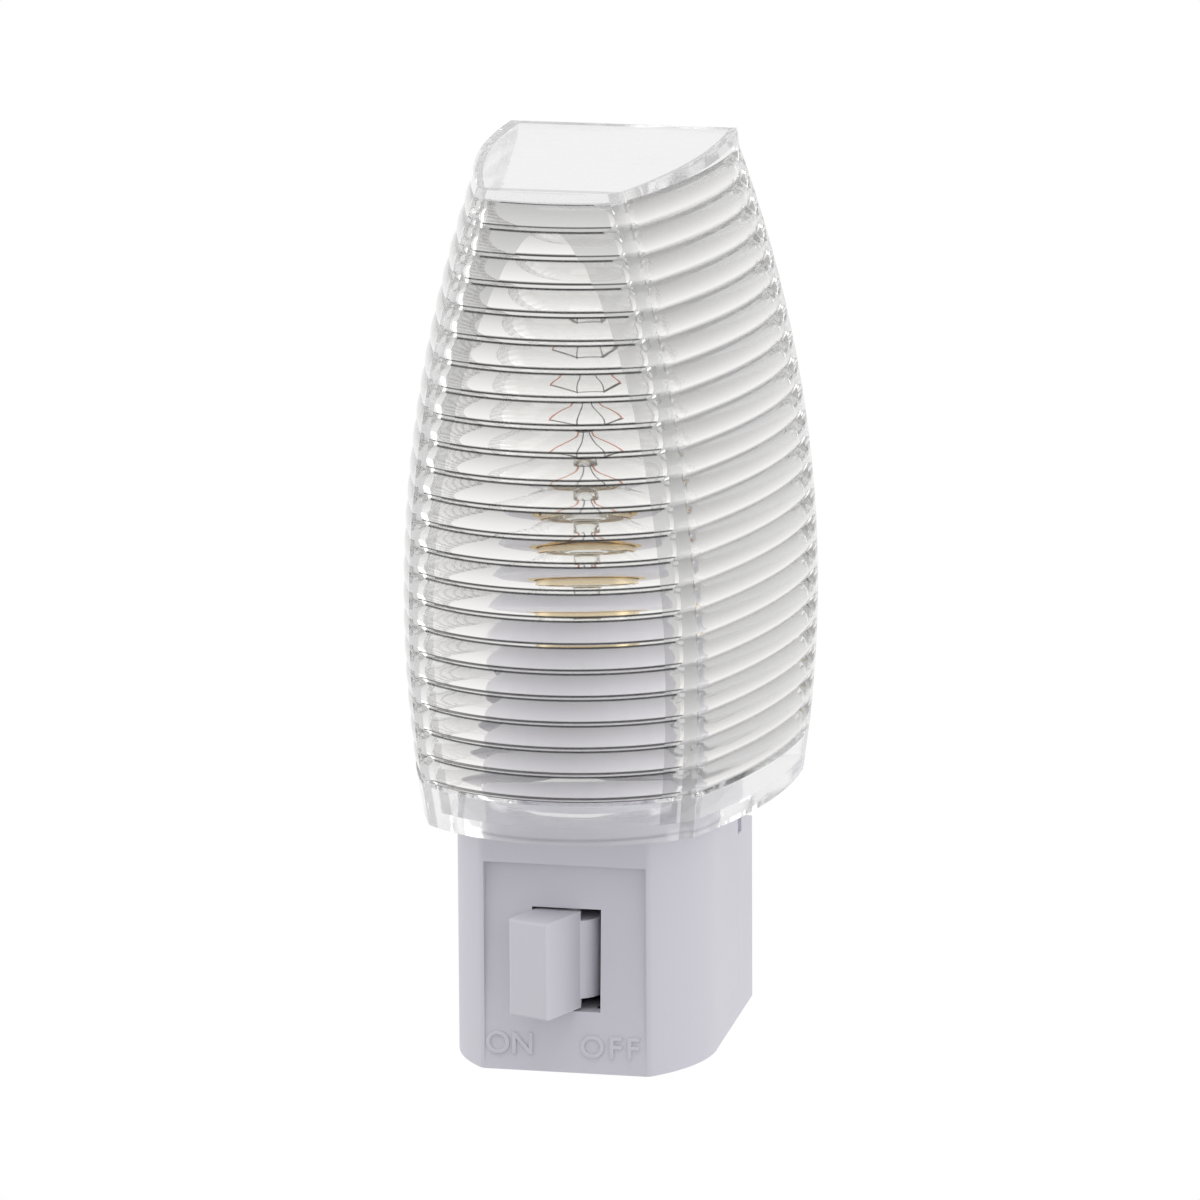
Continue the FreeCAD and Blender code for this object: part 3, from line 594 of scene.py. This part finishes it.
easedCopy("front_housing", "frontHousing", "base", "housing_plastic", 0.0004)
easedCopy("rear_cover", "rearCover", "base", "housing_plastic", 0.00022)
easedCopy("switch_lever", "switchLever", "switch", "lever_plastic", 0.00025)
print("mouldings eased")


def curveToBmesh(curve):
    # The mesh of a curve or a word, without leaving the curve in the scene.
    holder = bpy.data.objects.new("outline", curve)
    bpy.context.scene.collection.objects.link(holder)
    bpy.context.view_layer.update()
    mesh = bpy.data.meshes.new_from_object(holder.evaluated_get(bpy.context.evaluated_depsgraph_get()))
    bpy.data.objects.remove(holder)
    bm = bmesh.new()
    bm.from_mesh(mesh)
    bpy.data.meshes.remove(mesh)
    return bm


# Raised words on the front panel

wordSize = {"height": 2.55, "rise": 0.44, "line": 3.05, "offSpacing": 1.2, "onX": -6.55, "offX": 5.2,
            "recessDepth": 1.3, "recessTop": 24.5, "fontShare": 1.42, "edgeRound": 0.05}


def addWord(text, x, size, spacing=1.0):
    curve = bpy.data.curves.new("wordOutline", "FONT")
    curve.body = text
    curve.size = size["height"] * size["fontShare"]
    curve.space_character = spacing
    curve.extrude = size["rise"] / 2
    curve.bevel_depth = size["edgeRound"]
    curve.bevel_resolution = 1
    curve.align_x = "CENTER"
    curve.align_y = "CENTER"
    bm = curveToBmesh(curve)
    lean = atan(size["recessDepth"] / size["recessTop"])
    panelY = size["recessDepth"] * size["line"] / size["recessTop"]
    upright = Matrix.Translation((x, panelY, size["line"])) @ Matrix.Rotation(pi / 2 - lean, 4, "X")
    bmesh.ops.transform(bm, matrix=upright, verts=bm.verts)
    bmesh.ops.remove_doubles(bm, verts=bm.verts, dist=1e-4)
    slot = "housing_plastic"
    return finishPiece(bm, "word" + text.title(), "base", finishes[slot], sharpAngle=40)


addWord("ON", wordSize["onX"], wordSize)
addWord("OFF", wordSize["offX"], wordSize, wordSize["offSpacing"])
print("words added")


# Lamp

lampSize = {"y": 12.5, "capTop": 57.0, "neck": 5.4, "inCap": 1.5, "radius": 11.1, "belly": 14.5,
            "height": 36.0, "fullness": 0.85, "wall": 0.7, "capRadius": 5.85, "capHeight": 14.5,
            "threadPitch": 2.54, "threadDepth": 0.45, "threadFoot": 1.0, "threadFade": 0.8,
            "lipCurl": 0.9, "capWall": 0.3, "turns": 4, "steps": 96, "capRows": 120, "outlineSteps": 28}
stemSize = {"height": 9.0, "gap": 0.05, "lip": 0.5, "flareRise": 2.8, "radius": 1.5, "tipRadius": 1.2,
            "tipDrop": 0.4, "flareSteps": 8, "turnSteps": 48, "pinchHeight": 3.5, "pinch": 0.55}


def spunPiece(points, name, body, slotName, steps=96, sharpAngle=40):
    # Spins a closed outline of (radius, height) points round the lamp's axis.
    bm = bmesh.new()
    verts = [bm.verts.new((radius, 0, height)) for radius, height in points]
    edges = [bm.edges.new(pair) for pair in zip(verts, verts[1:] + verts[:1])]
    bmesh.ops.spin(bm, geom=verts + edges, cent=(0, 0, 0), axis=(0, 0, 1), angle=2 * pi,
                   steps=steps, use_merge=True, dvec=(0, 0, 0))
    bmesh.ops.remove_doubles(bm, verts=bm.verts, dist=1e-4)
    loose = [edge for edge in bm.edges if not edge.link_faces]
    bmesh.ops.delete(bm, geom=loose, context="EDGES")
    bmesh.ops.recalc_face_normals(bm, faces=bm.faces)
    bmesh.ops.translate(bm, verts=bm.verts, vec=(0, lampSize["y"], 0))
    return finishPiece(bm, name, body, finishes[slotName], sharpAngle)


def bulbOutline(size, inset, steps):
    neck = size["neck"] - inset
    widest = size["radius"] - inset
    belly = size["capTop"] + size["belly"]
    points = [(neck, size["capTop"] - size["inCap"]), (neck, size["capTop"])]
    for i in range(1, steps + 1):
        turn = pi * i / steps
        swell = neck + (widest - neck) * (1 - cos(turn)) / 2
        points.append((swell, size["capTop"] + size["belly"] * i / steps))
    dome = size["height"] - size["belly"] - inset
    for i in range(1, steps + 1):
        turn = pi / 2 * i / steps
        radius = widest * max(cos(turn), 0.0) ** size["fullness"] if i < steps else 0.0
        points.append((radius, belly + dome * sin(turn)))
    return points


def buildBulb(size):
    steps = size["outlineSteps"]
    outline = bulbOutline(size, 0, steps) + bulbOutline(size, size["wall"], steps)[::-1]
    piece = spunPiece(outline, "bulbGlass", "lamp", "lamp_glass", size["steps"], 45)
    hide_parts("lamp_glass")


def buildStem(size, lamp):
    # Flared glass foot of the filament mount, pinched flat at its top.
    foot = lamp["capTop"] - lamp["inCap"]
    top = lamp["capTop"] - lamp["inCap"] + size["height"]
    flare = lamp["neck"] - lamp["wall"] - size["gap"]
    waist = size["radius"]
    steps = size["flareSteps"]
    outline = [(0, foot), (flare, foot), (flare, foot + size["lip"])]
    for i in range(1, steps + 1):
        turn = pi / 2 * i / steps
        height = foot + size["lip"] + size["flareRise"] * (1 - cos(turn))
        outline.append((waist + (flare - waist) * (1 - sin(turn)), height))
    outline += [(waist, top - size["tipDrop"]), (size["tipRadius"], top), (0, top)]
    piece = spunPiece(outline, "stemMount", "lamp", "stem_glass", size["turnSteps"], 45)
    pinchFrom = (top - size["pinchHeight"] - baseSize["plugHeight"]) * 0.001
    axisY = (lamp["y"] - baseSize["depth"]) * 0.001
    for vert in piece.data.vertices:
        if vert.co.z > pinchFrom:
            vert.co.y = axisY + (vert.co.y - axisY) * size["pinch"]
    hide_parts("lamp_stem")


def buildCap(size):
    # Brass cap with a rolled screw thread, a plain collar above and a lip below.
    bm = bmesh.new()
    foot = size["capTop"] - size["capHeight"]
    rows = size["capRows"]
    columns = size["steps"] + 1
    threadLow = foot + size["threadFoot"]
    threadHigh = threadLow + size["threadPitch"] * size["turns"]

    def capPoint(column, row):
        turn = 2 * pi * column / size["steps"]
        z = foot + size["capHeight"] * row / (rows - 1)
        phase = (z - threadLow) / size["threadPitch"] - turn / (2 * pi)
        depth = size["threadDepth"] * (0.5 - 0.5 * cos(2 * pi * phase))
        fade = size["threadFade"]
        ends = min(1.0, max(0.0, (z - threadLow) / fade), max(0.0, (threadHigh - z) / fade))
        curl = size["lipCurl"] * max(0.0, 1 - (z - foot) / size["lipCurl"]) ** 2
        radius = size["capRadius"] - depth * ends - curl
        return Vector((radius * cos(turn), size["y"] + radius * sin(turn), z))

    gridSurface(bm, columns, rows, capPoint)
    bmesh.ops.remove_doubles(bm, verts=bm.verts, dist=1e-4)
    bmesh.ops.recalc_face_normals(bm, faces=bm.faces)
    bmesh.ops.solidify(bm, geom=bm.faces[:], thickness=size["capWall"])
    bmesh.ops.recalc_face_normals(bm, faces=bm.faces)
    piece = finishPiece(bm, "threadedCap", "lamp", finishes["cap_brass"], sharpAngle=40)
    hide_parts("lamp_cap")


def wirePiece(paths, radius, name, slotName, node):
    # Round wires of the lamp along smooth paths, joined as one piece.
    curve = bpy.data.curves.new("wirePath", "CURVE")
    curve.dimensions = "3D"
    curve.bevel_depth = radius
    curve.bevel_resolution = 3
    curve.use_fill_caps = True
    for path in paths:
        spline = curve.splines.new("NURBS")
        spline.points.add(len(path) - 1)
        for point, place in zip(spline.points, path):
            point.co = (*place, 1.0)
        spline.order_u = 3
        spline.use_endpoint_u = True
        spline.resolution_u = 4
    bm = curveToBmesh(curve)
    bmesh.ops.remove_doubles(bm, verts=bm.verts, dist=1e-5)
    bmesh.ops.recalc_face_normals(bm, faces=bm.faces)
    piece = finishPiece(bm, name, "lamp", finishes[slotName], sharpAngle=50)
    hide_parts(node)


wireSize = {
    "press": 64.5, "foot": 1.0, "leadRadius": 0.12, "supportRadius": 0.08,
    # Distance from the middle and height above the press or below the top of each lead.
    "leadRise": ((0.9, -1.0), (0.9, 1.6), (1.6, 3.4)), "leadTop": 75.0, "leadSpread": 4.2,
    "leadHook": ((3.4, -3.4), (4.2, -0.4), (4.2, 0.5)),
    "supportRoot": (0.4, 0.7), "supportBend": (0.4, 0.8, 3.0), "supportX": 1.6, "supportBack": 2.4,
    "supportTop": 78.0, "supportStraight": 4.0, "supportHook": ((0.5, 0.5), (0.1, 0.9)),
}
coilSize = {"radius": 0.24, "wire": 0.06, "pitch": 0.19, "sag": 1.2, "hang": 0.4, "perTurn": 8}


def buildLeads(size, y):
    for side, label in ((-1, "left"), (1, "right")):
        path = [(side * x, y, size["press"] + z) for x, z in size["leadRise"]]
        path += [(side * x, y, size["leadTop"] + z) for x, z in size["leadHook"]]
        wirePiece([path], size["leadRadius"], label + "LeadWire", "lead_wire", label + "_lead_wire")


def buildSupports(size, y):
    paths = []
    rootX, rootY = size["supportRoot"]
    bendX, bendY, bendZ = size["supportBend"]
    back = y + size["supportBack"]
    top = size["supportTop"]
    for side in (-1, 1):
        x = side * size["supportX"]
        path = [(side * rootX, y + rootY, size["press"] - size["foot"]),
                (side * bendX, y + bendY, size["press"] + bendZ),
                (x, back, top - size["supportStraight"]), (x, back, top)]
        path += [(x, back + out, top + up) for out, up in size["supportHook"]]
        paths.append(path)
    wirePiece(paths, size["supportRadius"], "supportWires", "support_wire", "support_wires")


def buildFilament(size, wires, y):
    # A fine helix that sags between the two leads and the two supports.
    back = y + wires["supportBack"]
    leadTop = wires["leadTop"] + size["hang"]
    supportTop = wires["supportTop"] + size["hang"]
    stops = [Vector((-wires["leadSpread"], y, leadTop)), Vector((-wires["supportX"], back, supportTop)),
             Vector((wires["supportX"], back, supportTop)), Vector((wires["leadSpread"], y, leadTop))]
    coil = []
    for a, b in zip(stops, stops[1:]):
        run = b - a
        across = run.cross(Vector((0, 0, 1))).normalized()
        up = across.cross(run).normalized()
        points = int(run.length / size["pitch"]) * size["perTurn"]
        for i in range(points):
            share = i / points
            turn = 2 * pi * i / size["perTurn"]
            middle = a + run * share - Vector((0, 0, size["sag"] * share * (1 - share)))
            coil.append(middle + (across * cos(turn) + up * sin(turn)) * size["radius"])
    wirePiece([coil], size["wire"], "filamentCoil", "filament_wire", "filament")


buildBulb(lampSize)
buildStem(stemSize, lampSize)
buildCap(lampSize)
buildLeads(wireSize, lampSize["y"])
buildSupports(wireSize, lampSize["y"])
buildFilament(coilSize, wireSize, lampSize["y"])
print("lamp built")


# Floor, background and lamps

studio = {"floorDrop": 0.075, "floorSize": 3.0, "ambient": 0.84, "nearFloor": 0.04, "farFloor": 0.16,
          "floorTone": 0.62, "floorRoughness": 0.9, "skyColor": (0.97, 0.97, 1.0), "clearTone": 0.93,
          "highTone": 0.86, "highFrom": 0.08, "highTo": 0.7,
          "lensSideTone": 0.80, "lensSideFrom": -0.45, "lensSideTo": 0.55}
softboxAim = (0, -0.015, 0.04)
softboxes = {
    "leftSoftbox": {"place": (-0.80, 0.12, 0.30), "size": (0.5, 0.6), "power": 1.0},
    "rightSoftbox": {"place": (0.80, 0.12, 0.30), "size": (0.5, 0.6), "power": 1.4},
    "topSoftbox": {"place": (0.05, -0.30, 0.85), "size": (0.6, 0.4), "power": 1.0},
}


def seenByLens(tree, withClear):
    # 1 where the lens sees the surface, and where reflections and clear pieces do.
    path = tree.nodes.new("ShaderNodeLightPath")
    if not withClear:
        return path.outputs["Is Camera Ray"]
    total = path.outputs["Is Camera Ray"]
    for output in ("Is Glossy Ray", "Is Transmission Ray"):
        add = tree.nodes.new("ShaderNodeMath")
        add.operation = "ADD"
        add.use_clamp = True
        tree.links.new(total, add.inputs[0])
        tree.links.new(path.outputs[output], add.inputs[1])
        total = add.outputs["Value"]
    direct = tree.nodes.new("ShaderNodeMath")
    direct.operation = "LESS_THAN"
    direct.inputs[1].default_value = 0.5
    both = tree.nodes.new("ShaderNodeMath")
    both.operation = "MULTIPLY"
    tree.links.new(path.outputs["Diffuse Depth"], direct.inputs[0])
    tree.links.new(total, both.inputs[0])
    tree.links.new(direct.outputs["Value"], both.inputs[1])
    return both.outputs["Value"]


def addFloor(settings):
    # Pale floor that keeps its shading near the object and turns white further out.
    bm = bmesh.new()
    bmesh.ops.create_grid(bm, x_segments=4, y_segments=4, size=settings["floorSize"])
    bmesh.ops.translate(bm, verts=bm.verts, vec=(0, 0, cadBox[0][2] - settings["floorDrop"]))
    mesh = bpy.data.meshes.new("floor")
    bm.to_mesh(mesh)
    bm.free()
    floor = bpy.data.objects.new("floor", mesh)
    bpy.context.scene.collection.objects.link(floor)
    material, tree, shader = newMaterial("paleFloor")
    tone = settings["floorTone"]
    shader.inputs["Base Color"].default_value = (tone, tone, tone, 1)
    shader.inputs["Roughness"].default_value = settings["floorRoughness"]
    coords = tree.nodes.new("ShaderNodeTexCoord")
    reach = tree.nodes.new("ShaderNodeVectorMath")
    reach.operation = "LENGTH"
    spread = addNode(tree, "ShaderNodeMapRange",
                     From_Min=settings["nearFloor"], From_Max=settings["farFloor"])
    spread.interpolation_type = "SMOOTHSTEP"
    amount = tree.nodes.new("ShaderNodeMath")
    amount.operation = "MULTIPLY"
    glow = tree.nodes.new("ShaderNodeEmission")
    level = addNode(tree, "ShaderNodeMapRange", To_Min=settings["clearTone"], To_Max=1.0)
    tree.links.new(seenByLens(tree, False), level.inputs["Value"])
    tree.links.new(level.outputs["Result"], glow.inputs["Strength"])
    mix = tree.nodes.new("ShaderNodeMixShader")
    tree.links.new(coords.outputs["Object"], reach.inputs[0])
    tree.links.new(reach.outputs["Value"], spread.inputs["Value"])
    tree.links.new(spread.outputs["Result"], amount.inputs[0])
    tree.links.new(seenByLens(tree, True), amount.inputs[1])
    tree.links.new(amount.outputs["Value"], mix.inputs["Fac"])
    tree.links.new(shader.outputs["BSDF"], mix.inputs[1])
    tree.links.new(glow.outputs["Emission"], mix.inputs[2])
    tree.links.new(mix.outputs["Shader"], tree.nodes["Material Output"].inputs["Surface"])
    mesh.materials.append(material)


def addWorld(settings):
    # White to the lens; clear and shiny pieces see white behind the object, a softer
    # tone overhead, and the dim side of the room behind the lens.
    world = bpy.data.worlds.new("studio")
    bpy.context.scene.world = world
    world.use_nodes = True
    tree = world.node_tree
    link = tree.links.new
    sky = tree.nodes["Background"]
    sky.inputs["Color"].default_value = (*settings["skyColor"], 1)
    sky.inputs["Strength"].default_value = settings["ambient"]
    coords = tree.nodes.new("ShaderNodeTexCoord")
    split = tree.nodes.new("ShaderNodeSeparateXYZ")
    overhead = addNode(tree, "ShaderNodeMapRange",
                       From_Min=settings["highFrom"], From_Max=settings["highTo"],
                       To_Min=settings["clearTone"], To_Max=settings["highTone"])
    behind = addNode(tree, "ShaderNodeMapRange",
                     From_Min=settings["lensSideFrom"], From_Max=settings["lensSideTo"],
                     To_Min=settings["lensSideTone"], To_Max=1.0)
    behind.interpolation_type = "SMOOTHSTEP"
    tone = tree.nodes.new("ShaderNodeMath")
    tone.operation = "MULTIPLY"
    room = tree.nodes.new("ShaderNodeBackground")
    white = addNode(tree, "ShaderNodeBackground", Strength=1.0)
    white.inputs["Color"].default_value = (1, 1, 1, 1)
    bent = tree.nodes.new("ShaderNodeMixShader")
    straight = tree.nodes.new("ShaderNodeMixShader")
    link(coords.outputs["Generated"], split.inputs["Vector"])
    link(split.outputs["Z"], overhead.inputs["Value"])
    link(split.outputs["Y"], behind.inputs["Value"])
    link(overhead.outputs["Result"], tone.inputs[0])
    link(behind.outputs["Result"], tone.inputs[1])
    link(tone.outputs["Value"], room.inputs["Strength"])
    room.inputs["Color"].default_value = (1, 1, 1, 1)
    link(seenByLens(tree, True), bent.inputs["Fac"])
    link(sky.outputs["Background"], bent.inputs[1])
    link(room.outputs["Background"], bent.inputs[2])
    link(seenByLens(tree, False), straight.inputs["Fac"])
    link(bent.outputs["Shader"], straight.inputs[1])
    link(white.outputs["Background"], straight.inputs[2])
    link(straight.outputs["Shader"], tree.nodes["World Output"].inputs["Surface"])


def addLamp(name, softbox, aim):
    data = bpy.data.lights.new(name, "AREA")
    data.shape = "RECTANGLE"
    data.size, data.size_y = softbox["size"]
    data.energy = softbox["power"]
    lamp = bpy.data.objects.new(name, data)
    bpy.context.scene.collection.objects.link(lamp)
    lamp.location = softbox["place"]
    lamp.rotation_euler = (Vector(softbox["place"]) - Vector(aim)).to_track_quat("Z", "Y").to_euler()


addFloor(studio)
addWorld(studio)
for softboxName, softbox in softboxes.items():
    addLamp(softboxName, softbox, softboxAim)
bpy.context.scene.view_settings.view_transform = "Standard"
print("studio set")
